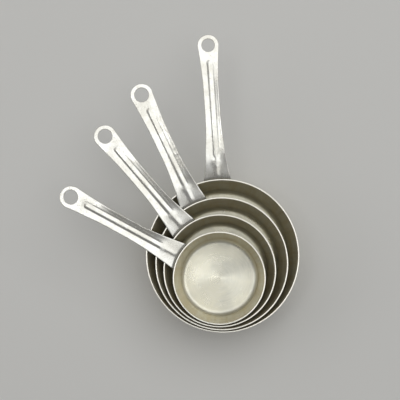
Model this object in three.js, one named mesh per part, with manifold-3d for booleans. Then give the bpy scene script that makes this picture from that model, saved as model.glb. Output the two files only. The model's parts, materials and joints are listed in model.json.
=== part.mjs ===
import * as THREE from "three";
import { mergeVertices } from "three/addons/utils/BufferGeometryUtils.js";
import Module from "manifold-3d";

// A nest of four measuring cups. Each cup is a shallow pressed bowl with a bare cut rim, and a pressed
// strap handle whose turned-down tab is spot-welded to the outside of the wall. The cups stand one
// inside the other, pushed to one side, with their handles fanned out. Lengths are millimetres and
// angles degrees. +Z is up. The origin is the centre of the largest bowl's underside.

const SHEET = 0.8; // bowl wall and floor
const STRAP = 1.2; // handle
const GAP = 0.3; // clearance between neighbouring pieces
const STACK_STEP = SHEET + GAP; // each bowl's floor above the one that it stands in
const BOTTOM_CORNER = 3.4; // inside radius between floor and wall

const TAB_DEPTH = 9; // how far the handle's tab reaches down the wall
const TAB_CORNER = 3;
const TAB_ROWS = [TAB_DEPTH, 8.2, TAB_DEPTH - TAB_CORNER, 4.5]; // depths of its cross rows below the rim
const TAB_BEND = 1.2; // radius of the strap's middle where it turns over the tab
const FOOT_LIFT = 0.3; // strap's middle above its own rim, just past the bend
const FOOT_SLOPE = 15;
const FOOT_PULL = 14; // how far the foot's slope carries into the arch
const HUG_REACH = 14; // how far past the bend the strap still bends round the bowl
const EYE_LIFT = 5; // strap's middle above its own rim, at the eye
const EYE_PULL = 24; // how far the eye's level carries back into the arch
const EYE_FLAT = 8; // level stretch on each side of the hang hole
const EYE_FLARE = 28; // where the strap starts to widen towards the eye
const FLARE_POWER = 1.6; // how late in that stretch the widening comes
const EYE_TIP = 0.2; // flat left on the tip of the eye's round outline, as a share of its width
const WELD_SPREAD = 4.6; // welds to each side of the tab's middle
const WELD_DEPTH = 5.6; // welds below the rim
const WELD_RADIUS = 1.8;

const RIB_HALF_WIDTH = 1.65;
const RIB_HEIGHT = 0.5;
const RIB_FROM_RIM = 11;
const RIB_FROM_EYE = 9.6;
const RIB_END = 2; // length of the rib's rounded ends
const RIB_SHARE = 0.6; // most of the half width that the rib's columns take where the eye's tip is narrow

const CUTTER_LENGTH = 7.2; // of the tools that cut the holes, enough to pass right through a strap

const LATHE_SIDES = 56;
const CORNER_STEPS = 4;
const BEND_STEPS = 5;
const ARCH_STEPS = 14;
const EYE_STEPS = 7;
const HOLE_SIDES = 24;
const WELD_SIDES = 12;
const DEGREE = Math.PI / 180;

// rim and foot are outside radii at the top of the wall and where wall and floor would meet. reach runs
// from the bowl's axis to the middle of the hang hole, and flare is how far from the rim the strap
// narrows to its waist.
const CUPS = [
  {
    name: "one_cup",
    rim: 49.0,
    foot: 44.2,
    height: 38.0,
    centre: [0, 0],
    handle: { angle: 93.9, reach: 134.4, footWidth: 17.8, waist: 9.9, eye: 13.8, hole: 8.2, flare: 42 },
  },
  {
    name: "three_quarter_cup",
    rim: 42.3,
    foot: 38.0,
    height: 38.4,
    centre: [-0.5, -5.1],
    handle: { angle: 115.4, reach: 118.7, footWidth: 18.4, waist: 11.1, eye: 14.5, hole: 9.0, flare: 36 },
  },
  {
    name: "half_cup",
    rim: 35.9,
    foot: 32.2,
    height: 37.4,
    centre: [-1.8, -9.6],
    handle: { angle: 130.5, reach: 112.2, footWidth: 18.4, waist: 11.1, eye: 14.5, hole: 9.0, flare: 36 },
  },
  {
    name: "third_cup",
    rim: 29.6,
    foot: 26.2,
    height: 37.4,
    centre: [-2.1, -14.3],
    handle: { angle: 151.4, reach: 107.1, footWidth: 18.4, waist: 11.1, eye: 14.5, hole: 9.0, flare: 36 },
  },
];

const wasm = await Module();
wasm.setup();

// Turns a closed geometry into a solid, so that holes can be cut in it.
function solidOf(geometry) {
  const bare = geometry.clone();
  bare.deleteAttribute("normal");
  bare.deleteAttribute("uv");
  const merged = mergeVertices(bare, 1e-4);
  const vertProperties = new Float32Array(merged.attributes.position.array);
  const triVerts = new Uint32Array(merged.index.array);
  return new wasm.Manifold(new wasm.Mesh({ numProp: 3, vertProperties, triVerts }));
}

// Cuts tools out of a body and gives the result back as a geometry with flat faces.
function cutOut(body, tools) {
  const solid = tools.reduce((rest, tool) => rest.subtract(solidOf(tool)), solidOf(body));
  const { vertProperties, triVerts } = solid.getMesh();
  const geometry = new THREE.BufferGeometry();
  geometry.setAttribute("position", new THREE.BufferAttribute(vertProperties, 3));
  geometry.setIndex(new THREE.BufferAttribute(triVerts, 1));
  const faceted = geometry.toNonIndexed();
  faceted.computeVertexNormals();
  return faceted;
}

// Draft of the wall, as an angle from the vertical, and its outside radius at a height.
const draftOf = (cup) => Math.atan((cup.rim - cup.foot) / cup.height);
const wallRadius = (cup, z) => cup.rim - (cup.height - z) * Math.tan(draftOf(cup));

// Points of a corner arc between the floor at height floorZ and the wall on the line (footRadius, 0) to
// the rim.
function cornerArc(footRadius, floorZ, radius, draft) {
  const centreZ = floorZ + radius;
  const wallX = footRadius + centreZ * Math.tan(draft);
  const centreX = wallX - radius / Math.cos(draft);
  const points = [];
  for (let i = 0; i <= CORNER_STEPS; i++) {
    const angle = -Math.PI / 2 + (i / CORNER_STEPS) * (Math.PI / 2 - draft);
    points.push(new THREE.Vector2(centreX + radius * Math.cos(angle), centreZ + radius * Math.sin(angle)));
  }
  return points;
}

// A pressed bowl: the outside from the axis to the rim, then the inside back to the axis.
function bowlGeometry(cup) {
  const draft = draftOf(cup);
  const sheetAcross = SHEET / Math.cos(draft);
  const outside = cornerArc(cup.foot, 0, BOTTOM_CORNER + SHEET, draft);
  const inside = cornerArc(cup.foot - sheetAcross, SHEET, BOTTOM_CORNER, draft).reverse();
  const profile = [
    new THREE.Vector2(0, 0),
    ...outside,
    new THREE.Vector2(cup.rim, cup.height),
    new THREE.Vector2(cup.rim - sheetAcross, cup.height),
    ...inside,
    new THREE.Vector2(0, SHEET),
  ];
  return new THREE.LatheGeometry(profile, LATHE_SIDES).rotateX(Math.PI / 2);
}

// Half the strap's width at a distance x from the bowl's axis: flared foot, waist, and the widening to
// the eye.
function strapHalfWidth(cup, x) {
  const { reach, footWidth, waist, eye, flare } = cup.handle;
  const nearFoot = Math.max(0, 1 - (x - cup.rim) / flare) ** 2;
  const nearEye = Math.max(0, 1 - (reach - x) / EYE_FLARE) ** FLARE_POWER;
  return (waist + (footWidth - waist) * nearFoot + (eye - waist) * nearEye) / 2;
}

// Half the tab's width at a depth below the rim, with its lower corners rounded.
function tabHalfWidth(cup, depth) {
  const corner = Math.max(0, depth - (TAB_DEPTH - TAB_CORNER));
  return cup.handle.footWidth / 2 - TAB_CORNER + Math.sqrt(TAB_CORNER ** 2 - corner ** 2);
}

// Height of the raised rib at a distance x from the bowl's axis and y from the strap's middle.
function ribHeight(cup, x, y) {
  const fromFoot = (x - cup.rim - RIB_FROM_RIM) / RIB_END;
  const fromEye = (cup.handle.reach - RIB_FROM_EYE - x) / RIB_END;
  const along = THREE.MathUtils.clamp(Math.min(fromFoot, fromEye), 0, 1);
  const across = Math.max(0, 1 - (y / RIB_HALF_WIDTH) ** 2);
  return RIB_HEIGHT * Math.sin((along * Math.PI) / 2) * across;
}

// Stations along the strap's middle in the plane of the handle, from the tab's lower end to the tip of
// the eye. x is the distance from the bowl's axis, z the height, nx and nz the upper side's normal, and
// hug says how far the strap bends round the bowl there: 1 on the tab and 0 on the straight strap.
function strapStations(cup) {
  const draft = draftOf(cup);
  const slope = FOOT_SLOPE * DEGREE;
  const bendZ = cup.height + FOOT_LIFT - TAB_BEND * Math.cos(slope);
  const tabTopZ = bendZ + TAB_BEND * Math.sin(draft);
  const offset = (GAP + STRAP / 2) / Math.cos(draft);
  const tabX = (z) => wallRadius(cup, z) + offset;
  const bendX = tabX(tabTopZ) + TAB_BEND * Math.cos(draft);
  const stations = [];

  for (const depth of TAB_ROWS) {
    const z = cup.height - depth;
    const halfWidth = tabHalfWidth(cup, depth);
    stations.push({ x: tabX(z), z, nx: -Math.cos(draft), nz: Math.sin(draft), halfWidth, hug: 1 });
  }

  for (let i = 0; i <= BEND_STEPS; i++) {
    const angle = Math.PI - draft - (i / BEND_STEPS) * (Math.PI / 2 - draft - slope);
    const x = bendX + TAB_BEND * Math.cos(angle);
    const z = bendZ + TAB_BEND * Math.sin(angle);
    const halfWidth = cup.handle.footWidth / 2;
    stations.push({ x, z, nx: Math.cos(angle), nz: Math.sin(angle), halfWidth, hug: 1 });
  }

  const foot = new THREE.Vector2(stations.at(-1).x, stations.at(-1).z);
  const eyeStart = new THREE.Vector2(cup.handle.reach - EYE_FLAT, cup.height + EYE_LIFT);
  const footPull = new THREE.Vector2(Math.cos(slope), Math.sin(slope)).multiplyScalar(FOOT_PULL);
  const eyePull = new THREE.Vector2(-EYE_PULL, 0);
  const leaving = foot.clone().add(footPull);
  const arriving = eyeStart.clone().add(eyePull);
  const arch = new THREE.CubicBezierCurve(foot, leaving, arriving, eyeStart);
  for (let i = 1; i <= ARCH_STEPS; i++) {
    const { x, y: z } = arch.getPoint(i / ARCH_STEPS);
    const tangent = arch.getTangent(i / ARCH_STEPS);
    const hug = Math.max(0, 1 - (x - foot.x) / HUG_REACH) ** 2;
    stations.push({ x, z, nx: -tangent.y, nz: tangent.x, halfWidth: strapHalfWidth(cup, x), hug });
  }

  const eyeRadius = cup.handle.eye / 2;
  for (let i = 0; i <= EYE_STEPS; i++) {
    const angle = ((i / EYE_STEPS) * Math.PI) / 2;
    const x = cup.handle.reach + eyeRadius * Math.sin(angle);
    const halfWidth = eyeRadius * Math.max(Math.cos(angle), EYE_TIP);
    stations.push({ x, z: eyeStart.y, nx: 0, nz: 1, halfWidth, hug: 0 });
  }
  return stations;
}

// A closed sheet between an upper and a lower grid of points, each given by a function of row and column.
function sheetGeometry(rows, columns, upper, lower) {
  const positions = [];
  const indices = [];
  for (const side of [upper, lower]) {
    for (let row = 0; row < rows; row++) {
      for (let column = 0; column < columns; column++) {
        positions.push(...side(row, column).toArray());
      }
    }
  }
  const top = (row, column) => row * columns + column;
  const bottom = (row, column) => rows * columns + top(row, column);
  const quad = (a, b, c, d) => indices.push(a, b, c, a, c, d);
  for (let row = 0; row < rows - 1; row++) {
    for (let column = 0; column < columns - 1; column++) {
      quad(top(row, column), top(row + 1, column), top(row + 1, column + 1), top(row, column + 1));
      const next = row + 1;
      quad(bottom(row, column), bottom(row, column + 1), bottom(next, column + 1), bottom(next, column));
    }
    const last = columns - 1;
    quad(top(row, 0), bottom(row, 0), bottom(row + 1, 0), top(row + 1, 0));
    quad(top(row, last), top(row + 1, last), bottom(row + 1, last), bottom(row, last));
  }
  for (let column = 0; column < columns - 1; column++) {
    const last = rows - 1;
    quad(top(0, column), top(0, column + 1), bottom(0, column + 1), bottom(0, column));
    quad(top(last, column), bottom(last, column), bottom(last, column + 1), top(last, column + 1));
  }
  const geometry = new THREE.BufferGeometry();
  geometry.setAttribute("position", new THREE.Float32BufferAttribute(positions, 3));
  geometry.setIndex(indices);
  return geometry;
}

// A cylinder along the bowl's radius, centred on one weld. side is 1 for the left weld and -1 for the
// right one.
function weldCylinder(cup, side, radius, length) {
  const z = cup.height - WELD_DEPTH;
  const middle = wallRadius(cup, z) + GAP + STRAP / 2;
  const turn = (side * WELD_SPREAD) / middle;
  return new THREE.CylinderGeometry(radius, radius, length, WELD_SIDES)
    .rotateZ(-Math.PI / 2)
    .rotateY(draftOf(cup))
    .translate(middle, 0, z)
    .rotateZ(turn);
}

// A pressed strap handle along +X: tab, bend, arched strap with its rib, and an eye with a hang hole.
function handleGeometry(cup) {
  const stations = strapStations(cup);
  const across = ({ halfWidth }) => {
    const ribEdge = Math.min(RIB_HALF_WIDTH, halfWidth * RIB_SHARE);
    return [-halfWidth, -ribEdge, -ribEdge / 2, 0, ribEdge / 2, ribEdge, halfWidth];
  };
  const point = (row, column, side) => {
    const { x, z, nx, nz, hug } = stations[row];
    const y = across(stations[row])[column];
    const offset = (side * STRAP) / 2 + ribHeight(cup, x, y);
    const radius = x + nx * offset;
    const straight = new THREE.Vector3(radius, y, z + nz * offset);
    const wrapped = new THREE.Vector3(radius * Math.cos(y / x), radius * Math.sin(y / x), straight.z);
    return straight.lerp(wrapped, hug);
  };
  const strap = sheetGeometry(
    stations.length,
    across(stations[0]).length,
    (row, column) => point(row, column, 1),
    (row, column) => point(row, column, -1),
  );
  const holeRadius = cup.handle.hole / 2;
  const hangHole = new THREE.CylinderGeometry(holeRadius, holeRadius, CUTTER_LENGTH, HOLE_SIDES)
    .rotateX(Math.PI / 2)
    .translate(cup.handle.reach, 0, cup.height + EYE_LIFT);
  const weldHoles = [1, -1].map((side) => weldCylinder(cup, side, WELD_RADIUS + GAP, CUTTER_LENGTH));
  return cutOut(strap, [hangHole, ...weldHoles]);
}

const STEEL = {
  bowl: { color: "#b5b09c", roughness: 0.38, metalness: 1 },
  handle: { color: "#cfcec4", roughness: 0.32, metalness: 1 },
  weld: { color: "#a8a396", roughness: 0.5, metalness: 1 },
};

function piece(name, geometry, steel) {
  const mesh = new THREE.Mesh(geometry, new THREE.MeshStandardMaterial(steel));
  mesh.name = name;
  return mesh;
}

// One cup in its own group, standing at its level in the nest with its handle turned to its own angle.
function cupGroup(cup, level) {
  const group = new THREE.Group();
  group.add(piece(`${cup.name}_bowl`, bowlGeometry(cup), STEEL.bowl));
  group.add(piece(`${cup.name}_handle`, handleGeometry(cup), STEEL.handle));
  for (const [sideName, side] of [["left", 1], ["right", -1]]) {
    const weld = weldCylinder(cup, side, WELD_RADIUS, STRAP);
    group.add(piece(`${cup.name}_weld_${sideName}`, weld, STEEL.weld));
  }
  group.position.set(cup.centre[0], cup.centre[1], level * STACK_STEP);
  group.rotation.z = cup.handle.angle * DEGREE;
  return group;
}

const cupSet = new THREE.Group();
CUPS.forEach((cup, level) => cupSet.add(cupGroup(cup, level)));

export default cupSet;
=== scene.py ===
# %% [markdown]
# # A nest of pressed steel measuring cups
# Four shallow bowls stand one inside the other, each with a pressed strap handle, and the handles are
# fanned out. Every cup is two pressings and two spot welds: a bowl drawn from sheet, a strap stamped from
# thicker sheet, and the two small craters that the welding tips leave where they squeeze the strap's tab
# to the wall. The CAD model has all of them as plain faceted solids. It stays the frame for size, place
# and motion, and this lesson makes the surfaces that are seen: finer shapes in the same places, and steel
# that looks used.

# %% Load the frame
import json
import math

import bpy
from mathutils import Matrix, Vector


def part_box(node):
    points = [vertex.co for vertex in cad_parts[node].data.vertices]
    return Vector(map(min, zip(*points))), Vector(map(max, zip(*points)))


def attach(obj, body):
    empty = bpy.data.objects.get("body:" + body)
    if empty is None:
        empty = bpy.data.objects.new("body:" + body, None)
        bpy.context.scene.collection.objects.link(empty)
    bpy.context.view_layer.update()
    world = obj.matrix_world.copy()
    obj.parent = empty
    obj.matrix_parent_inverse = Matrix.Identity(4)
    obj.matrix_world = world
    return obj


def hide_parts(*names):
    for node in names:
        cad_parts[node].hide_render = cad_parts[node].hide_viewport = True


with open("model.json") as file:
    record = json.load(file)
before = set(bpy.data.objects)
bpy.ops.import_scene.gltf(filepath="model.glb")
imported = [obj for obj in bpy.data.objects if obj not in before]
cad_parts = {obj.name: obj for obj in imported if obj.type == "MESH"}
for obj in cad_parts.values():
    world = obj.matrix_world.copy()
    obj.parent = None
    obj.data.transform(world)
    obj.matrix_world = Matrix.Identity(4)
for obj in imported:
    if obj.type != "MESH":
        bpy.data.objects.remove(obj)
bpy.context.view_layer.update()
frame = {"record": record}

MM = 0.001

# %% [markdown]
# ## Sizes come from the frame
# A bowl's rim, height and middle can be read from the box of its CAD node, and the hang hole's place from
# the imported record, so nothing has to be fitted by eye later. Only what a box can't tell, such as sheet
# thickness and the outline of the strap, is written down here, in metres.

# %% Sizes of the four cups
SHEET = 0.8 * MM
STRAP = 1.2 * MM
TAB_GAP = 0.3 * MM
BOX_MARGIN = 0.03 * MM  # kept free inside the frame's box, for the bowls' slight unevenness
FOOT_RADII = {
    "one_cup": 44.2 * MM,
    "three_quarter_cup": 38.0 * MM,
    "half_cup": 32.2 * MM,
    "third_cup": 26.2 * MM,
}
STRAP_WIDTHS = {  # mm: foot, waist, eye, hang hole, and how far the foot's flare reaches
    "one_cup": (17.8, 9.9, 13.65, 8.2, 42),
    "three_quarter_cup": (18.4, 11.1, 14.35, 9.0, 36),
    "half_cup": (18.4, 11.1, 14.35, 9.0, 36),
    "third_cup": (18.4, 11.1, 14.35, 9.0, 36),
}


class Cup:
    """One cup's sizes and place, read from its CAD nodes and the record."""

    def __init__(self, name):
        low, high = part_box(name + "_bowl")
        self.name = name
        self.base = Vector(((low.x + high.x) / 2, (low.y + high.y) / 2, low.z))
        self.rim = min(high.x - low.x, high.y - low.y) / 2 - BOX_MARGIN
        self.foot = FOOT_RADII[name]
        self.height = high.z - low.z
        self.draft = math.atan((self.rim - self.foot) / self.height)
        self.foot_width, self.waist, self.eye, self.hole, self.flare = (
            value * MM for value in STRAP_WIDTHS[name]
        )
        openings = frame["record"]["physics"]["openings"]
        hole_box = next(o["box_m"] for o in openings if o["name"] == name + "_hang_hole")
        to_hole = (Vector(hole_box[0]) + Vector(hole_box[1])) / 2 - self.base
        self.angle = math.atan2(to_hole.y, to_hole.x)
        self.reach = Vector((to_hole.x, to_hole.y)).length
        self.eye_z = to_hole.z

    def wall(self, z):
        """The wall's outside radius at a height above the bowl's underside."""
        return self.rim - (self.height - z) * math.tan(self.draft)

    def place(self, point):
        """Carry a point of the cup's own frame, handle along +X, to the set's frame."""
        return self.base + Matrix.Rotation(self.angle, 3, "Z") @ point


cups = [Cup(name) for name in ("one_cup", "three_quarter_cup", "half_cup", "third_cup")]
for cup in cups:
    print(f"{cup.name}: rim {cup.rim / MM:.1f}, height {cup.height / MM:.1f}, "
          f"handle at {math.degrees(cup.angle):.1f} degrees, hole {cup.reach / MM:.1f} mm out")

# %% [markdown]
# ## Node trees as short sentences
# Shader and geometry trees are built in the same way: add a node, feed its inputs, use its output. One
# helper does that for both, and a second one writes arithmetic, so that a tree reads like a formula.

# %% Helpers for node trees
def add(tree, kind, feeds=None, **settings):
    """Add a node. A feed that is a socket is linked, and any other feed is set on the input itself."""
    node = tree.nodes.new(kind)
    for key, value in settings.items():
        setattr(node, key, value)
    for socket, feed in (feeds or {}).items():
        if isinstance(feed, bpy.types.NodeSocket):
            tree.links.new(feed, node.inputs[socket])
        else:
            node.inputs[socket].default_value = feed
    return node


def maths(tree, operation, *feeds):
    """A Math node's result."""
    return add(tree, "ShaderNodeMath", dict(enumerate(feeds)), operation=operation).outputs[0]


def vector(tree, x, y, z):
    """Three numbers or sockets as one vector."""
    return add(tree, "ShaderNodeCombineXYZ", {0: x, 1: y, 2: z}).outputs[0]


def scaled(tree, source, factors):
    """A vector times a constant vector."""
    return add(tree, "ShaderNodeVectorMath", {0: source, 1: factors}, operation="MULTIPLY").outputs[0]


def noise(tree, place, scale, detail=2.0, roughness=0.5):
    """A noise pattern's value at a place, between 0 and 1."""
    feeds = {"Vector": place, "Scale": scale, "Detail": detail, "Roughness": roughness}
    return add(tree, "ShaderNodeTexNoise", feeds).outputs[0]


def spread(tree, value, low, high, to_low=0.0, to_high=1.0):
    """Stretch the part of a value between low and high to another range, and clamp the rest."""
    feeds = {0: value, 1: low, 2: high, 3: to_low, 4: to_high}
    return add(tree, "ShaderNodeMapRange", feeds).outputs[0]


def blend_colours(tree, amount, first, second):
    """Mix two colours by an amount between 0 and 1."""
    feeds = {0: amount, 6: first, 7: second}
    return add(tree, "ShaderNodeMix", feeds, data_type="RGBA").outputs[2]


print("node helpers ready")

# %% [markdown]
# ## Spun steel for the bowls
# A drawn bowl is polished on a spindle, so its scratches are circles round the axis, on the floor and on
# the wall alike. Light glints from them in a bow tie that turns with the lamp. Two things make that look:
# the shader's anisotropy, with a tangent that runs round the axis and a quarter turn that spreads
# reflections across the scratches, and a fine noise that hardly changes round the bowl but changes fast
# along its profile. Each bowl carries an attribute with the direction round the axis and the distance
# along the profile, which has no seam, where an unwrapped map would have one. The steel is a little warm,
# and each bounce between the walls warms and darkens it further. On top of that the walls are painted
# darker and warmer than the floor, a painted shade for those bounces, with darker golden streaks along
# the profile. Stains vary the tone of floor and wall. The bottom corner and the round of the rim are
# painted light, and the top of the rim near white: painted highlights.

# %% Steel of the bowls
def new_steel(name):
    """A material with only a Principled shader for metal, and its tree."""
    material = bpy.data.materials.new(name)
    material.use_nodes = True
    tree = material.node_tree
    shader = tree.nodes["Principled BSDF"]
    shader.inputs["Metallic"].default_value = 1.0
    return material, tree, shader


def bump(tree, shader, height, strength, distance):
    """Feed a height to the shader's normal."""
    feeds = {"Height": height, "Strength": strength, "Distance": distance}
    tree.links.new(add(tree, "ShaderNodeBump", feeds).outputs[0], shader.inputs["Normal"])


def bowl_steel():
    material, tree, shader = new_steel("bowl_steel")
    spun = add(tree, "ShaderNodeAttribute", attribute_name="spun").outputs["Vector"]
    round_axis = add(tree, "ShaderNodeSeparateXYZ", {0: spun})
    cosine, sine, along = round_axis.outputs
    place = add(tree, "ShaderNodeTexCoord").outputs["Object"]

    rings = noise(tree, scaled(tree, spun, (0.8, 0.8, 1400)), 1.0, detail=3.0, roughness=0.7)
    bands = noise(tree, scaled(tree, spun, (0.5, 0.5, 160)), 1.0, detail=2.0)
    arcs = noise(tree, scaled(tree, spun, (3.5, 3.5, 2600)), 1.0, detail=0.0)
    stains = noise(tree, place, 55.0, detail=4.0, roughness=0.6)
    smudges = noise(tree, place, 130.0, detail=3.0)

    rim = add(tree, "ShaderNodeAttribute", attribute_name="rim").outputs["Fac"]
    upright = add(tree, "ShaderNodeAttribute", attribute_name="upright").outputs["Fac"]

    scratches = spread(tree, arcs, 0.66, 0.74)
    on_floor = spread(tree, stains, 0.42, 0.62)
    on_wall = spread(tree, stains, 0.4, 0.64)
    flat = blend_colours(tree, on_floor, (0.73, 0.715, 0.60, 1), (0.60, 0.60, 0.53, 1))
    # Painted shade: the wall tones, laid on upright faces, are darker and warmer than the floor's, for the
    # light lost in bounces between the walls, with darker golden streaks along the profile.
    wall = blend_colours(tree, on_wall, (0.73, 0.70, 0.56, 1), (0.64, 0.57, 0.38, 1))
    wall_streaks = noise(tree, scaled(tree, spun, (11, 11, 14)), 1.0, detail=3.0, roughness=0.6)
    wall = blend_colours(tree, spread(tree, wall_streaks, 0.46, 0.64, 0.0, 0.6), wall, (0.60, 0.50, 0.27, 1))
    # Painted highlight: where the surface is half upright, at the bottom corner and the rim's round, the
    # colour is pushed towards near white.
    corner = maths(tree, "MULTIPLY", maths(tree, "PINGPONG", upright, 0.5), 1.3)
    tint = blend_colours(tree, corner, blend_colours(tree, upright, flat, wall), (0.90, 0.88, 0.80, 1))
    streaked = blend_colours(tree, maths(tree, "MULTIPLY", spread(tree, rings, 0.35, 0.7), 0.5), tint,
                             (0.78, 0.76, 0.68, 1))
    marked = blend_colours(tree, maths(tree, "MULTIPLY", scratches, 0.35), streaked, (0.84, 0.82, 0.77, 1))
    # Painted highlight: the top of the rim is painted near white for the thin bright line it catches.
    tree.links.new(blend_colours(tree, rim, marked, (0.92, 0.90, 0.83, 1)), shader.inputs["Base Color"])

    polish = maths(tree, "ADD", maths(tree, "MULTIPLY", rings, 0.10), maths(tree, "MULTIPLY", smudges, 0.16))
    polish = maths(tree, "ADD", polish, maths(tree, "MULTIPLY", bands, 0.10))
    dullness = spread(tree, polish, 0.10, 0.28, 0.24, 0.34)
    dullness = maths(tree, "ADD", dullness, maths(tree, "MULTIPLY", upright, 0.1))
    tree.links.new(dullness, shader.inputs["Roughness"])
    tree.links.new(spread(tree, upright, 0.0, 0.4, 0.9, 0.85), shader.inputs["Anisotropic"])
    shader.inputs["Anisotropic Rotation"].default_value = 0.25
    tangent = vector(tree, maths(tree, "MULTIPLY", sine, -1.0), cosine, 0.0)
    tree.links.new(tangent, shader.inputs["Tangent"])

    height = maths(tree, "ADD", rings, bands)
    height = maths(tree, "SUBTRACT", height, maths(tree, "MULTIPLY", scratches, 0.15))
    bump(tree, shader, height, 0.11, 0.03 * MM)
    return material


bowl_metal = bowl_steel()
print("made", bowl_metal.name, "with", len(bowl_metal.node_tree.nodes), "nodes")

# %% [markdown]
# ## Tumbled steel for the handles
# The straps are stamped and then tumbled bright, so their grain is weak and runs lengthwise, with short
# scratches over it where the stains are. The mesh carries the distances along and across the strap as an
# attribute, and the grain follows it round the bend. Scratches are thin level lines of a stretched noise,
# turned to two angles.

# %% Steel of the handles
def scratch_lines(tree, place, turn, stretch, width):
    """Thin sparse lines: the middle level of a noise that is stretched along one direction."""
    feeds = {"Vector": place, "Angle": turn}
    turned = add(tree, "ShaderNodeVectorRotate", feeds, rotation_type="Z_AXIS").outputs[0]
    pattern = noise(tree, scaled(tree, turned, stretch), 1.0, detail=1.0)
    ridge = maths(tree, "ABSOLUTE", maths(tree, "SUBTRACT", pattern, 0.5))
    return spread(tree, ridge, 0.0, width, 1.0, 0.0)


def handle_steel():
    material, tree, shader = new_steel("handle_steel")
    grain = add(tree, "ShaderNodeAttribute", attribute_name="grain").outputs["Vector"]
    place = add(tree, "ShaderNodeTexCoord").outputs["Object"]

    brushing = noise(tree, scaled(tree, grain, (70, 2600, 1)), 1.0, detail=3.0, roughness=0.7)
    patches = noise(tree, place, 90.0, detail=4.0, roughness=0.6)
    pits = noise(tree, place, 900.0, detail=1.0)
    fine = scratch_lines(tree, grain, 0.5, (90, 900, 1), 0.012)
    coarse = scratch_lines(tree, grain, -0.9, (60, 420, 1), 0.009)
    scratches = maths(tree, "MAXIMUM", fine, coarse)
    kept = maths(tree, "MULTIPLY", scratches, spread(tree, patches, 0.42, 0.6))
    speckle = spread(tree, pits, 0.68, 0.76)

    tint = blend_colours(tree, spread(tree, patches, 0.4, 0.62), (0.81, 0.81, 0.78, 1), (0.70, 0.69, 0.64, 1))
    dulled = blend_colours(tree, maths(tree, "MULTIPLY", speckle, 0.5), tint, (0.45, 0.42, 0.36, 1))
    scratched = blend_colours(tree, kept, dulled, (0.62, 0.60, 0.55, 1))
    tree.links.new(scratched, shader.inputs["Base Color"])

    polish = maths(tree, "MULTIPLY", brushing, 0.14)
    polish = maths(tree, "ADD", polish, maths(tree, "MULTIPLY", patches, 0.16))
    polish = maths(tree, "ADD", polish, maths(tree, "MULTIPLY", speckle, 0.1))
    tree.links.new(spread(tree, polish, 0.08, 0.26, 0.2, 0.34), shader.inputs["Roughness"])
    height = maths(tree, "SUBTRACT", maths(tree, "MULTIPLY", brushing, 0.5), kept)
    bump(tree, shader, height, 0.15, 0.03 * MM)
    return material


handle_metal = handle_steel()
print("made", handle_metal.name, "with", len(handle_metal.node_tree.nodes), "nodes")

# %% [markdown]
# ## Heat-tinted steel for the welds
# A spot weld leaves a ring of straw and brown oxide round a bright centre. The colour depends on the
# distance from the weld's own axis, which the spun mesh carries as the distance along its profile.

# %% Steel of the welds
WELD_RADIUS = 1.8 * MM


def weld_steel():
    material, tree, shader = new_steel("weld_steel")
    spun = add(tree, "ShaderNodeAttribute", attribute_name="spun").outputs["Vector"]
    along = add(tree, "ShaderNodeSeparateXYZ", {0: spun}).outputs[2]
    place = add(tree, "ShaderNodeTexCoord").outputs["Object"]
    mottle = noise(tree, place, 1500.0, detail=3.0)
    ragged = maths(tree, "ADD", along, maths(tree, "MULTIPLY", mottle, WELD_RADIUS / 3))
    ring = spread(tree, ragged, 0.0, WELD_RADIUS)
    tint = blend_colours(tree, ring, (0.66, 0.63, 0.57, 1), (0.42, 0.34, 0.22, 1))
    tree.links.new(tint, shader.inputs["Base Color"])
    tree.links.new(spread(tree, mottle, 0.3, 0.7, 0.3, 0.5), shader.inputs["Roughness"])
    bump(tree, shader, mottle, 0.3, 0.03 * MM)
    return material


weld_metal = weld_steel()
print("made", weld_metal.name)

# %% [markdown]
# ## A profile with rounded corners
# A bowl is one outline turned round an axis. The outline is a short list of corners, each with its own
# radius, and this cell rounds them. It also puts extra points close to both ends of each straight
# stretch: smooth shading blends the normals between neighbouring points, and without a point nearby a
# small round edge would shade the whole wall.

# %% Round the corners of an outline
ARC_STEP = math.radians(7)
ARC_LENGTH = 2 * MM
HOLD = 0.5 * MM  # from the end of a straight stretch to its extra point
LONGEST = 5 * MM


def corner_arc(before, corner, after, radius):
    """The points of the arc that rounds one corner."""
    if radius == 0:
        return [corner]
    back = (before - corner).normalized()
    ahead = (after - corner).normalized()
    turn = math.pi - back.angle(ahead)
    centre = corner + (back + ahead).normalized() * (radius / math.cos(turn / 2))
    start = corner + back * (radius * math.tan(turn / 2)) - centre
    side = 1 if back.x * ahead.y - back.y * ahead.x < 0 else -1
    steps = max(2, round(turn / ARC_STEP), round(turn * radius / ARC_LENGTH))
    return [centre + Matrix.Rotation(side * turn * i / steps, 2) @ start for i in range(steps + 1)]


def rounded_outline(corners):
    """Points along an open outline of (x, z, radius) corners."""
    places = [Vector((x, z)) for x, z, _ in corners]
    points = [places[0]]
    for i in range(1, len(corners) - 1):
        points += corner_arc(places[i - 1], places[i], places[i + 1], corners[i][2])
    points.append(places[-1])
    held = [points[0]]
    for start, end in zip(points, points[1:]):
        length = (end - start).length
        if length > 3 * HOLD:
            count = max(1, math.ceil((length - 2 * HOLD) / LONGEST))
            distances = [HOLD + (length - 2 * HOLD) * i / count for i in range(count + 1)]
            held += [start.lerp(end, distance / length) for distance in distances]
        held.append(end)
    return held


def profile_curve(name, points):
    """A curve object with the outline in its XY plane, as the input of a spinning tree."""
    data = bpy.data.curves.new(name, "CURVE")
    data.dimensions = "3D"
    line = data.splines.new("POLY")
    line.points.add(len(points) - 1)
    for place, point in zip(line.points, points):
        place.co = (point.x, point.y, 0, 1)
    curve = bpy.data.objects.new(name, data)
    bpy.context.scene.collection.objects.link(curve)
    return curve


print("corner helper ready")

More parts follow.
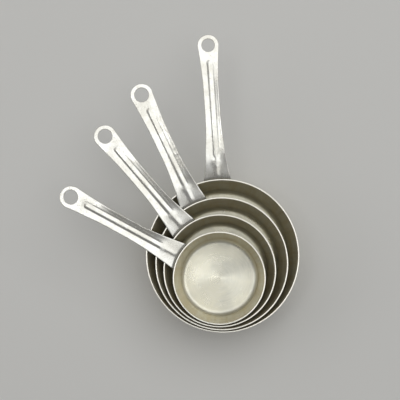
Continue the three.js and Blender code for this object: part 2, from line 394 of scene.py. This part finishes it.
# %% [markdown]
# ## Geometry Nodes spin the profile
# Spin in edit mode or a Screw modifier would turn the outline too, but a node tree also stores the
# attribute that the steel needs and takes the bowl's own slight unevenness as an input. The tree sweeps
# the profile along a circle. The circle has a radius of one metre, and the profile is moved in by the
# same metre, because a sweep along a circle of no size has no direction. Points that meet on the axis are
# then merged, so the poles are closed.

# %% The tree that spins a profile
SWEEP_CIRCLE = 1.0


def new_tree(name, inputs):
    """A geometry tree with named inputs, its group input and output nodes."""
    tree = bpy.data.node_groups.new(name, "GeometryNodeTree")
    tree.interface.new_socket("Geometry", in_out="INPUT", socket_type="NodeSocketGeometry")
    for label, kind in inputs:
        tree.interface.new_socket(label, in_out="INPUT", socket_type=kind)
    tree.interface.new_socket("Geometry", in_out="OUTPUT", socket_type="NodeSocketGeometry")
    return tree, tree.nodes.new("NodeGroupInput").outputs, tree.nodes.new("NodeGroupOutput").inputs


def spin_tree():
    inputs = [("Sides", "NodeSocketInt"), ("Waviness", "NodeSocketFloat")]
    tree, given, result = new_tree("Spin profile", inputs)
    length = add(tree, "GeometryNodeSplineParameter").outputs["Length"]
    feeds = {"Geometry": given["Geometry"], "Name": "along", "Value": length}
    marked = add(tree, "GeometryNodeStoreNamedAttribute", feeds).outputs[0]
    moved = add(tree, "GeometryNodeTransform", {"Geometry": marked, "Scale": (1, -1, 1)}).outputs[0]
    feeds = {"Geometry": moved, "Translation": (-SWEEP_CIRCLE, 0, 0)}
    moved = add(tree, "GeometryNodeTransform", feeds).outputs[0]
    feeds = {"Resolution": given["Sides"], "Radius": SWEEP_CIRCLE}
    circle = add(tree, "GeometryNodeCurvePrimitiveCircle", feeds).outputs[0]
    feeds = {"Curve": circle, "Profile Curve": moved}
    swept = add(tree, "GeometryNodeCurveToMesh", feeds).outputs[0]
    closed = add(tree, "GeometryNodeMergeByDistance", {"Geometry": swept, "Distance": 1e-5}).outputs[0]
    turned = add(tree, "GeometryNodeFlipFaces", {"Mesh": closed}).outputs[0]

    place = add(tree, "GeometryNodeInputPosition").outputs[0]
    flat = scaled(tree, place, (1, 1, 0))
    outward = add(tree, "ShaderNodeVectorMath", {0: flat}, operation="NORMALIZE").outputs[0]
    heading = add(tree, "ShaderNodeSeparateXYZ", {0: outward}).outputs
    along = add(tree, "GeometryNodeInputNamedAttribute", {"Name": "along"}).outputs[0]
    spun = vector(tree, heading[0], heading[1], along)
    feeds = {"Geometry": turned, "Name": "spun", "Value": spun}
    named = add(tree, "GeometryNodeStoreNamedAttribute", feeds, data_type="FLOAT_VECTOR").outputs[0]

    height = add(tree, "ShaderNodeSeparateXYZ", {0: place}).outputs[2]
    ripple = vector(tree, maths(tree, "MULTIPLY", heading[0], 1.6), maths(tree, "MULTIPLY", heading[1], 1.6),
                    maths(tree, "MULTIPLY", height, 40.0))
    swing = maths(tree, "SUBTRACT", noise(tree, ripple, 1.0, detail=1.0), 0.5)
    size = maths(tree, "MULTIPLY", swing, given["Waviness"])
    grow = spread(tree, height, 0.004, 0.02)
    shift = add(tree, "ShaderNodeVectorMath", {0: outward, "Scale": maths(tree, "MULTIPLY", size, grow)},
                operation="SCALE").outputs[0]
    bent = add(tree, "GeometryNodeSetPosition", {"Geometry": named, "Offset": shift}).outputs[0]
    smooth = add(tree, "GeometryNodeSetShadeSmooth", {0: bent}).outputs[0]
    tree.links.new(smooth, result["Geometry"])
    return tree


spin = spin_tree()
print("spinning tree has", len(spin.nodes), "nodes")

# %% [markdown]
# ## The bowls
# Each bowl is one sheet: floor, rounded bottom corner, tapered wall and bare rim. The corner is tight, so
# it shows from above as a narrow ring between floor and wall, and the steel is painted light there, a
# painted highlight. The rim is a sheared edge with its burrs off, rounded so that it catches light as a
# thin bright line, and its top is painted near white along that line, a painted highlight.

# %% Spin the four bowls
BOTTOM_CORNER = 3.4 * MM
RIM_ROUND = 0.16 * MM
RIM_HIGHLIGHT_BAND = 0.4 * MM  # from the top edge down, painted near white: a painted highlight
BOWL_SIDES = 192
BOWL_WAVINESS = 0.22 * MM


def bowl_corners(cup):
    """The bowl's section: outside from the axis to the rim, then the inside back to the axis."""
    across = SHEET / math.cos(cup.draft)
    inner_foot = cup.foot - across + SHEET * math.tan(cup.draft)
    return [
        (0, 0, 0),
        (cup.foot, 0, BOTTOM_CORNER + SHEET),
        (cup.rim, cup.height, RIM_ROUND),
        (cup.rim - across, cup.height, RIM_ROUND),
        (inner_foot, SHEET, BOTTOM_CORNER),
        (0, SHEET, 0),
    ]


def tree_input(tree, label):
    """The identifier of a tree's named input, by which a modifier sets it."""
    return next(item.identifier for item in tree.interface.items_tree
                if item.in_out == "INPUT" and item.name == label)


def made_by(tree, source, name, values):
    """Run a tree on an object with the given inputs and keep the result as a plain mesh."""
    modifier = source.modifiers.new(tree.name, "NODES")
    modifier.node_group = tree
    for label, value in values.items():
        modifier[tree_input(tree, label)] = value
    return plain_mesh(source, name)


def plain_mesh(source, name):
    """Replace an object and its modifiers with the plain mesh that they make."""
    graph = bpy.context.evaluated_depsgraph_get()
    mesh = bpy.data.meshes.new_from_object(source.evaluated_get(graph))
    mesh.name = name
    bpy.data.objects.remove(source)
    piece = bpy.data.objects.new(name, mesh)
    bpy.context.scene.collection.objects.link(piece)
    return piece


def bowl_tree():
    """Spin a profile, mark its rim and its upright parts, and set it in its place in its steel."""
    inputs = [("Sides", "NodeSocketInt"), ("Waviness", "NodeSocketFloat"), ("Height", "NodeSocketFloat"),
              ("Base", "NodeSocketVector"), ("Steel", "NodeSocketMaterial")]
    tree, given, result = new_tree("Bowl", inputs)
    feeds = {"Geometry": given["Geometry"], "Sides": given["Sides"], "Waviness": given["Waviness"]}
    spun = add(tree, "GeometryNodeGroup", {}, node_tree=spin)
    for label, feed in feeds.items():
        tree.links.new(feed, spun.inputs[label])
    place = add(tree, "GeometryNodeInputPosition").outputs[0]
    normal = add(tree, "GeometryNodeInputNormal").outputs[0]
    height = add(tree, "ShaderNodeSeparateXYZ", {0: place}).outputs[2]
    facing = add(tree, "ShaderNodeSeparateXYZ", {0: normal}).outputs[2]
    edge = maths(tree, "SUBTRACT", height, given["Height"])
    marks = {
        "rim": spread(tree, edge, -RIM_HIGHLIGHT_BAND, -RIM_HIGHLIGHT_BAND / 2),
        "upright": spread(tree, maths(tree, "ABSOLUTE", facing), 0.9, 0.3),
    }
    marked = spun.outputs[0]
    for label, value in marks.items():
        feeds = {"Geometry": marked, "Name": label, "Value": value}
        marked = add(tree, "GeometryNodeStoreNamedAttribute", feeds).outputs[0]
    stood = add(tree, "GeometryNodeTransform", {"Geometry": marked, "Translation": given["Base"]}).outputs[0]
    real = add(tree, "GeometryNodeRealizeInstances", {"Geometry": stood}).outputs[0]
    steel = add(tree, "GeometryNodeSetMaterial", {"Geometry": real, "Material": given["Steel"]}).outputs[0]
    tree.links.new(steel, result["Geometry"])
    return tree


bowl_maker = bowl_tree()


def hand_over(piece, cup, nodes):
    """Put a piece on its cup's body, hide the CAD nodes that it stands for and print its face count."""
    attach(piece, cup.name)
    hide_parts(*nodes)
    print(f"{piece.name}: {len(piece.data.polygons)} faces")


for cup in cups:
    profile = profile_curve(cup.name + "_profile", rounded_outline(bowl_corners(cup)))
    values = {"Sides": BOWL_SIDES, "Waviness": BOWL_WAVINESS, "Height": cup.height, "Base": cup.base,
              "Steel": bowl_metal}
    bowl = made_by(bowl_maker, profile, cup.name + "_spun_bowl", values)
    hand_over(bowl, cup, [cup.name + "_bowl"])

# %% [markdown]
# ## The path of a strap
# Seen from the side, a strap starts as a tab on the outside of the wall, turns over just outside the rim,
# climbs a little and runs level to the eye. The path is the middle of the sheet, as points with the
# direction that faces up. Close to the bowl the strap also bends round the wall, and "hug" says by how
# much.

# %% Stations along a strap
TAB_DEPTH = 9 * MM
TAB_CORNER = 3 * MM
TAB_BEND = 1.2 * MM
FOOT_LIFT = 0.3 * MM
FOOT_SLOPE = math.radians(15)
FOOT_PULL = 14 * MM
EYE_PULL = 24 * MM
EYE_FLAT = 8 * MM
HUG_REACH = 14 * MM
STATION_STEP = 0.5 * MM
TAB_STATIONS = 12
BEND_STEPS = 10


class Station:
    """A place on the strap's path: distance from the bowl's axis, height, upward direction and hug."""

    def __init__(self, x, z, up, hug, depth=0.0):
        self.x, self.z, self.up, self.hug, self.depth = x, z, up, hug, depth


def bezier(points, t):
    """A point and its tangent on a cubic Bezier curve."""
    a, b, c, d = points
    place = a * (1 - t) ** 3 + b * (3 * t * (1 - t) ** 2) + c * (3 * t * t * (1 - t)) + d * t ** 3
    heading = (b - a) * (1 - t) ** 2 + (c - b) * (2 * t * (1 - t)) + (d - c) * t * t
    return place, heading.normalized()


def stations(cup):
    """The path from the tab's lower end to where the eye begins."""
    out = Vector((math.cos(cup.draft), -math.sin(cup.draft)))
    bend_z = cup.height + FOOT_LIFT - TAB_BEND * math.cos(FOOT_SLOPE)
    top_z = bend_z + TAB_BEND * math.sin(cup.draft)
    offset = (TAB_GAP + STRAP / 2) / math.cos(cup.draft)
    path = []
    for i in range(TAB_STATIONS):
        z = cup.height - TAB_DEPTH + (top_z - cup.height + TAB_DEPTH) * i / TAB_STATIONS
        path.append(Station(cup.wall(z) + offset, z, -out, 1.0, cup.height - z))
    bend_x = cup.wall(top_z) + offset + TAB_BEND * math.cos(cup.draft)
    for i in range(BEND_STEPS + 1):
        angle = math.pi - cup.draft - (math.pi / 2 - cup.draft - FOOT_SLOPE) * i / BEND_STEPS
        up = Vector((math.cos(angle), math.sin(angle)))
        path.append(Station(bend_x + TAB_BEND * up.x, bend_z + TAB_BEND * up.y, up, 1.0))
    foot = Vector((path[-1].x, path[-1].z))
    eye = Vector((cup.reach - EYE_FLAT, cup.eye_z))
    pull = Vector((math.cos(FOOT_SLOPE), math.sin(FOOT_SLOPE))) * FOOT_PULL
    curve = (foot, foot + pull, eye - Vector((EYE_PULL, 0)), eye)
    count = round((eye - foot).length / STATION_STEP)
    for i in range(1, count + 1):
        place, heading = bezier(curve, i / count)
        hug = max(0.0, 1 - (place.x - foot.x) / HUG_REACH) ** 2
        path.append(Station(place.x, place.y, Vector((-heading.y, heading.x)), hug))
    return path


for cup in cups:
    print(cup.name, "strap has", len(stations(cup)), "stations")

# %% [markdown]
# ## The pressed shape of a strap
# The stamping gives the strap three features: an outline that narrows to a waist and widens to a round
# eye, a raised rib down the middle with a round end near the eye and a bulge near the foot, and edges
# turned up very slightly, so that the two flats on each side of the rib catch light differently. Years of
# use add small nicks on the edges. No bend may be tighter than half the sheet's thickness, or its inner
# side would fold over itself.

# %% Outline, rib and dish of a strap
EYE_FLARE = 28 * MM
FLARE_POWER = 1.6
RIB_HALF_WIDTH = 1.65 * MM
RIB_FLANK = 1.45 * MM
RIB_HEIGHT = 0.34 * MM
RIB_FROM_RIM = 11 * MM
RIB_FROM_EYE = 9.6 * MM
RIB_FADE = 4.5 * MM  # over which the rib rises at its foot end
GROOVE_DEPTH = 0.1 * MM  # the press leaves a shallow groove round the rib
GROOVE_WIDTH = 0.45 * MM
GROOVE_REACH = RIB_HALF_WIDTH + 0.35 * MM
BULGE_HEIGHT = 0.28 * MM
BULGE_RADIUS = 2.4 * MM
RIDGE_HEIGHT = 0.22 * MM
RIDGE_WIDTH = 1.3 * MM
RIDGE_FADE = 3 * MM
DISH = 0.7 * MM
DISH_POWER = 2.0
DISH_FROM_RIM = 4 * MM  # the foot stays flat this far, then the dish deepens over the rise
DISH_FOOT_RISE = 16 * MM
DISH_FROM_HOLE = 5 * MM
DISH_EYE_RISE = 26 * MM
NICK_WIDTH = 0.7 * MM
NICKS = {  # side (1 is anticlockwise of the strap's middle), distance from the rim and depth
    "three_quarter_cup": [(-1, 33 * MM, 0.35 * MM), (-1, 37 * MM, 0.2 * MM)],
    "third_cup": [(-1, 29 * MM, 0.4 * MM), (-1, 26 * MM, 0.25 * MM), (1, 48 * MM, 0.15 * MM)],
    "half_cup": [(1, 30 * MM, 0.15 * MM)],
    "one_cup": [(-1, 40 * MM, 0.15 * MM)],
}


def smooth_step(value):
    """Ease from 0 to 1 without a corner at either end."""
    value = min(1.0, max(0.0, value))
    return value * value * (3 - 2 * value)


def eye_share(cup, x):
    """How far the strap has widened from its waist, 0, to the eye's full width, 1."""
    return max(0.0, 1 - (cup.reach - x) / EYE_FLARE) ** FLARE_POWER


def half_width(cup, station, side):
    """Half the strap's width on one side of its middle."""
    if station.depth > TAB_DEPTH - TAB_CORNER:
        corner = min(station.depth - (TAB_DEPTH - TAB_CORNER), TAB_CORNER)
        return cup.foot_width / 2 - TAB_CORNER + math.sqrt(max(0.0, TAB_CORNER ** 2 - corner ** 2))
    near_foot = max(0.0, 1 - max(0.0, station.x - cup.rim) / cup.flare) ** 2
    near_eye = eye_share(cup, station.x)
    width = (cup.waist + (cup.foot_width - cup.waist) * near_foot + (cup.eye - cup.waist) * near_eye) / 2
    for nick_side, distance, depth in NICKS[cup.name]:
        if nick_side == side:
            width -= depth * math.exp(-(((station.x - cup.rim - distance) / NICK_WIDTH) ** 2))
    return width


def relief(cup, x, y, width):
    """Height of the pressed shape over the plain sheet, at x along the strap and y across it."""
    start = cup.rim + RIB_FROM_RIM
    end = cup.reach - RIB_FROM_EYE - RIB_HALF_WIDTH
    from_rib = math.hypot(max(0.0, x - end), y)
    groove = GROOVE_DEPTH * math.exp(-(((from_rib - GROOVE_REACH) / GROOVE_WIDTH) ** 2))
    rib = RIB_HEIGHT * smooth_step((RIB_HALF_WIDTH - from_rib) / RIB_FLANK) - groove
    rib *= smooth_step((x - start) / RIB_FADE)
    bulge = BULGE_HEIGHT * math.exp(-(((x - start) ** 2 + y * y) / BULGE_RADIUS ** 2))
    near_foot = smooth_step((start - x) / RIDGE_FADE) * smooth_step((x - cup.rim) / RIDGE_FADE)
    ridge = RIDGE_HEIGHT * near_foot * math.exp(-((y / RIDGE_WIDTH) ** 2))
    away_from_foot = smooth_step((x - cup.rim - DISH_FROM_RIM) / DISH_FOOT_RISE)
    away_from_eye = smooth_step((cup.reach - x - DISH_FROM_HOLE) / DISH_EYE_RISE)
    dish = DISH * away_from_foot * away_from_eye * abs(y / width) ** DISH_POWER
    return rib + bulge + ridge + dish


print("strap shape ready")

# %% [markdown]
# ## Build the middle surface, then give it thickness
# A stamped sheet is easiest as a surface without thickness. Its grid follows the strap, and round the
# hang hole it turns into rings, so that both the hole and the outer edge are true curves with evenly
# spaced faces. Solidify then makes the sheet and Bevel rounds its sheared edges. The outermost row of
# faces is wider than the bevel, which keeps the round edge clean.

# %% Grid of one strap
EDGE_ROW = 0.9 * MM
GRAIN_SHIFT = 7  # moves each cup's grain to another part of the noise
FINE_STEP = 0.24 * MM
FINE_COLUMNS = 11  # on each side of the middle, over the rib
FLAT_COLUMNS = 4
RING_ROWS = (0.0, 0.3, 0.5, 0.7, 1.0)
TIP_STEPS = 40
SIDE_STEPS = 10  # along the level sides of the eye


def columns(left, right):
    """Places across the strap, from its right edge to its left edge."""
    fine = [FINE_STEP * i for i in range(-FINE_COLUMNS, FINE_COLUMNS + 1)]
    reach = FINE_STEP * FINE_COLUMNS
    shares = [i / FLAT_COLUMNS for i in range(1, FLAT_COLUMNS + 1)]
    outer_left = [reach + (left - EDGE_ROW - reach) * share for share in shares] + [left]
    outer_right = [reach + (right - EDGE_ROW - reach) * share for share in shares] + [right]
    return [-y for y in reversed(outer_right)] + fine + outer_left


def strap_point(cup, station, y, width):
    """A point of the middle surface in the set's frame."""
    rise = relief(cup, station.x, y, width) if station.depth == 0 else 0.0
    x = station.x + station.up.x * rise
    z = station.z + station.up.y * rise
    straight = Vector((x, y, z))
    wrapped = Vector((x * math.cos(y / station.x), x * math.sin(y / station.x), z))
    return cup.place(straight.lerp(wrapped, station.hug))


def eye_outline(cup):
    """The eye's edge from the left end of the strap's last row, round the tip, to its right end."""
    start = cup.reach - EYE_FLAT
    edge = []
    for i in range(1, SIDE_STEPS):
        x = start + EYE_FLAT * i / SIDE_STEPS
        edge.append((x, (cup.waist + (cup.eye - cup.waist) * eye_share(cup, x)) / 2))
    radius = cup.eye / 2
    for i in range(TIP_STEPS + 1):
        angle = math.pi / 2 - math.pi * i / TIP_STEPS
        edge.append((cup.reach + radius * math.cos(angle), radius * math.sin(angle)))
    edge += [(x, -y) for x, y in reversed(edge[:SIDE_STEPS - 1])]
    return edge


def strap_grid(cup):
    """Vertices, faces and the distances along and across the strap at each vertex."""
    path = stations(cup)
    vertices, grain, rows = [], [], []
    travelled = 0.0
    for index, station in enumerate(path):
        if index:
            travelled += math.hypot(station.x - path[index - 1].x, station.z - path[index - 1].z)
        left, right = half_width(cup, station, 1), half_width(cup, station, -1)
        row = []
        for y in columns(left, right):
            row.append(len(vertices))
            vertices.append(strap_point(cup, station, y, left if y > 0 else right))
            grain.append((travelled, y, 0.0))
        rows.append(row)
    faces = [(a[i], b[i], b[i + 1], a[i + 1]) for a, b in zip(rows, rows[1:]) for i in range(len(a) - 1)]

    last = path[-1]
    border = [(last.x, grain[v][1]) for v in rows[-1]] + eye_outline(cup)
    rings = []
    for share in RING_ROWS:
        ring = []
        for index, (x, y) in enumerate(border):
            if share == 1.0 and index < len(rows[-1]):
                ring.append(rows[-1][index])
                continue
            angle = math.atan2(y, x - cup.reach)
            inner = Vector((cup.reach + cup.hole / 2 * math.cos(angle), cup.hole / 2 * math.sin(angle)))
            spot = inner.lerp(Vector((x, y)), share)
            station = Station(spot.x, last.z, Vector((0, 1)), 0.0)
            ring.append(len(vertices))
            vertices.append(strap_point(cup, station, spot.y, cup.eye / 2))
            grain.append((travelled + spot.x - last.x, spot.y, 0.0))
        rings.append(ring)
    count = len(border)
    for inner, outer in zip(rings, rings[1:]):
        for i in range(count):
            j = (i + 1) % count
            faces.append((inner[i], inner[j], outer[j], outer[i]))
    return vertices, faces, grain


def strap_mesh(cup):
    """The middle surface as an object, with its grain attribute."""
    vertices, faces, grain = strap_grid(cup)
    mesh = bpy.data.meshes.new(cup.name + "_strap")
    mesh.from_pydata(vertices, [], faces)
    attribute = mesh.attributes.new("grain", "FLOAT_VECTOR", "POINT")
    offset = Vector((0, 0, cup.reach * GRAIN_SHIFT))
    attribute.data.foreach_set("vector", [value for place in grain for value in Vector(place) + offset])
    mesh.shade_smooth()
    strap = bpy.data.objects.new(mesh.name, mesh)
    bpy.context.scene.collection.objects.link(strap)
    return strap


print("strap grid of", cups[0].name, "has", len(strap_grid(cups[0])[1]), "faces")

# %% [markdown]
# ## Sheet metal with sheared edges
# The strap is 1.2 mm sheet whose sheared edges are worn round. Two modifiers make that: Solidify gives
# the middle surface its thickness on both sides, and Bevel rounds every edge sharper than a limit. The
# result is kept as a plain mesh, because the frame takes finished pieces.

# %% Give the straps their thickness
EDGE_ROUND = 0.55 * MM
SHARP_EDGE = math.radians(60)

for cup in cups:
    strap = strap_mesh(cup)
    sheet = strap.modifiers.new("Sheet", "SOLIDIFY")
    sheet.thickness = STRAP
    sheet.offset = 0.0
    edges = strap.modifiers.new("Sheared edges", "BEVEL")
    edges.width = EDGE_ROUND
    edges.segments = 4
    edges.limit_method = "ANGLE"
    edges.angle_limit = SHARP_EDGE
    handle = plain_mesh(strap, cup.name + "_strap_handle")
    handle.data.materials.append(handle_metal)
    hand_over(handle, cup, [cup.name + "_handle"])

# %% [markdown]
# ## Spot welds
# Each tab is held by two welds side by side. One crater's section is spun with the same tree as the
# bowls, and a second tree puts a copy on each point of a short row, turned to face straight out of the
# wall, which is how rivets or screws round a drum would be made too. The section starts at the crater's
# face, so that distances along it are distances from the weld's axis. That is the other way round from a
# bowl's, so the tree flips the faces back.

# %% Weld craters
WELD_SPREAD = 4.6 * MM
WELD_DEPTH = 5.6 * MM
WELD_PROUD = 0.12 * MM
WELD_SIDES = 40


def weld_row_tree():
    inputs = [("Count", "NodeSocketInt"), ("Radius", "NodeSocketFloat"), ("Height", "NodeSocketFloat"),
              ("Angle", "NodeSocketFloat"), ("Spacing", "NodeSocketFloat"), ("Draft", "NodeSocketFloat"),
              ("Base", "NodeSocketVector"), ("Steel", "NodeSocketMaterial")]
    tree, given, result = new_tree("Weld row", inputs)
    index = add(tree, "GeometryNodeInputIndex").outputs[0]
    middle = maths(tree, "DIVIDE", maths(tree, "SUBTRACT", given["Count"], 1.0), 2.0)
    turn = maths(tree, "MULTIPLY", maths(tree, "SUBTRACT", index, middle), given["Spacing"])
    angle = maths(tree, "ADD", given["Angle"], turn)
    cosine, sine = maths(tree, "COSINE", angle), maths(tree, "SINE", angle)
    x = maths(tree, "MULTIPLY", cosine, given["Radius"])
    y = maths(tree, "MULTIPLY", sine, given["Radius"])
    spot = vector(tree, x, y, given["Height"])
    placed = add(tree, "ShaderNodeVectorMath", {0: spot, 1: given["Base"]}, operation="ADD").outputs[0]
    points = add(tree, "GeometryNodePoints", {"Count": given["Count"], "Position": placed}).outputs[0]
    level = maths(tree, "COSINE", given["Draft"])
    down = maths(tree, "MULTIPLY", maths(tree, "SINE", given["Draft"]), -1.0)
    facing = vector(tree, maths(tree, "MULTIPLY", cosine, level), maths(tree, "MULTIPLY", sine, level), down)
    aim = add(tree, "FunctionNodeAlignRotationToVector", {"Vector": facing}, axis="Z").outputs[0]
    spun = add(tree, "GeometryNodeGroup", {}, node_tree=spin)
    tree.links.new(given["Geometry"], spun.inputs["Geometry"])
    spun.inputs["Sides"].default_value = WELD_SIDES
    crater = add(tree, "GeometryNodeFlipFaces", {"Mesh": spun.outputs[0]}).outputs[0]
    feeds = {"Points": points, "Instance": crater, "Rotation": aim}
    copies = add(tree, "GeometryNodeInstanceOnPoints", feeds).outputs[0]
    real = add(tree, "GeometryNodeRealizeInstances", {"Geometry": copies}).outputs[0]
    steel = add(tree, "GeometryNodeSetMaterial", {"Geometry": real, "Material": given["Steel"]}).outputs[0]
    tree.links.new(steel, result["Geometry"])
    return tree


weld_maker = weld_row_tree()
CRATER = [
    (0, STRAP / 2 - 0.01 * MM, 0),
    (0.45 * WELD_RADIUS, STRAP / 2 + 0.02 * MM, 0.5 * MM),
    (0.78 * WELD_RADIUS, STRAP / 2 + WELD_PROUD, 0.2 * MM),
    (WELD_RADIUS, STRAP / 2 - 0.05 * MM, 0.1 * MM),
    (WELD_RADIUS, -STRAP / 2, 0.2 * MM),
    (0, -STRAP / 2, 0),
]

for cup in cups:
    weld_z = cup.height - WELD_DEPTH
    radius = cup.wall(weld_z) + TAB_GAP + STRAP / 2
    profile = profile_curve(cup.name + "_crater", rounded_outline(CRATER))
    spacing = 2 * WELD_SPREAD / radius
    values = {"Count": 2, "Radius": radius, "Height": weld_z, "Angle": cup.angle, "Spacing": spacing,
              "Draft": cup.draft, "Base": cup.base, "Steel": weld_metal}
    welds = made_by(weld_maker, profile, cup.name + "_spot_welds", values)
    hand_over(welds, cup, [cup.name + "_weld_left", cup.name + "_weld_right"])

# %% [markdown]
# ## Table, light and camera
# The set stands on a plain pale table. Steel shows what it reflects, so the lights are placed by what
# each surface sees. A broad softbox hangs overhead and a little behind, which the bowls' floors and the
# tops of the handles look at. Nothing bright stands in front, so the bowls' far walls, which look that
# way, fall dark. Weaker softboxes behind and low on the left draw the lines on the edges, and a small one
# leaves a soft glint across the floor.

# %% Table and lights
TABLE_SIZE = 4.0


def table():
    mesh = bpy.data.meshes.new("table")
    half = TABLE_SIZE / 2
    corners = [(-half, -half, 0), (half, -half, 0), (half, half, 0), (-half, half, 0)]
    mesh.from_pydata(corners, [], [(0, 1, 2, 3)])
    top = bpy.data.objects.new("table", mesh)
    bpy.context.scene.collection.objects.link(top)
    paint = bpy.data.materials.new("table_paint")
    paint.use_nodes = True
    shader = paint.node_tree.nodes["Principled BSDF"]
    shader.inputs["Base Color"].default_value = (0.75, 0.75, 0.74, 1)
    shader.inputs["Roughness"].default_value = 0.85
    mesh.materials.append(paint)


def softbox(name, place, size, watts, colour):
    """A square area light aimed at the middle of the nest."""
    light = bpy.data.lights.new(name, "AREA")
    light.shape = "SQUARE"
    light.size = size
    light.energy = watts
    light.color = colour
    lamp = bpy.data.objects.new(name, light)
    bpy.context.scene.collection.objects.link(lamp)
    lamp.location = place
    lamp.rotation_euler = (Vector((0, 0, 0.02)) - Vector(place)).to_track_quat("-Z", "Y").to_euler()


table()
softbox("key", (0.37, 0.40, 1.27), 1.5, 8.4, (1.0, 1.0, 0.98))
softbox("back", (-0.8, 0.9, 1.1), 1.0, 1.6, (1.0, 0.98, 0.95))
softbox("left_low", (-1.3, 0.1, 0.75), 0.8, 1.6, (1.0, 0.98, 0.95))
softbox("left_small", (-0.42, 0.0, 1.3), 0.26, 0.6, (1.0, 1.0, 0.98))
world = bpy.data.worlds.new("room")
world.use_nodes = True
world.node_tree.nodes["Background"].inputs["Color"].default_value = (1.0, 0.99, 0.97, 1)
world.node_tree.nodes["Background"].inputs["Strength"].default_value = 0.22
bpy.context.scene.world = world
bpy.context.scene.view_settings.view_transform = "Standard"

# %% [markdown]
# ## Look down into the nest
# The camera hangs almost straight over the cups, about 0.75 m above the rims. At that distance the far
# rims shift a little against the floors, which shows how deep the bowls are.

# %% Camera
RIM_LEVEL = cups[0].base.z + cups[0].height
CAMERA_ABOVE = 0.75
CAMERA_OVER = (0.003, 0.001)
FRAME_MIDDLE = Vector((-0.0144, 0.0355, RIM_LEVEL))
FRAME_WIDTH = 0.2556

camera = bpy.data.objects.new("camera", bpy.data.cameras.new("camera"))
bpy.context.scene.collection.objects.link(camera)
eye_point = Vector((*CAMERA_OVER, RIM_LEVEL + CAMERA_ABOVE))
look = (FRAME_MIDDLE - eye_point).normalized()
right = look.cross(Vector((0, 1, 0))).normalized()
turned = Matrix((right, right.cross(look), -look)).transposed().to_4x4()
camera.matrix_world = Matrix.Translation(eye_point) @ turned
camera.data.angle = 2 * math.atan(FRAME_WIDTH / 2 / (FRAME_MIDDLE - eye_point).length)
bpy.context.scene.camera = camera
print(f"field of view {math.degrees(camera.data.angle):.1f} degrees")
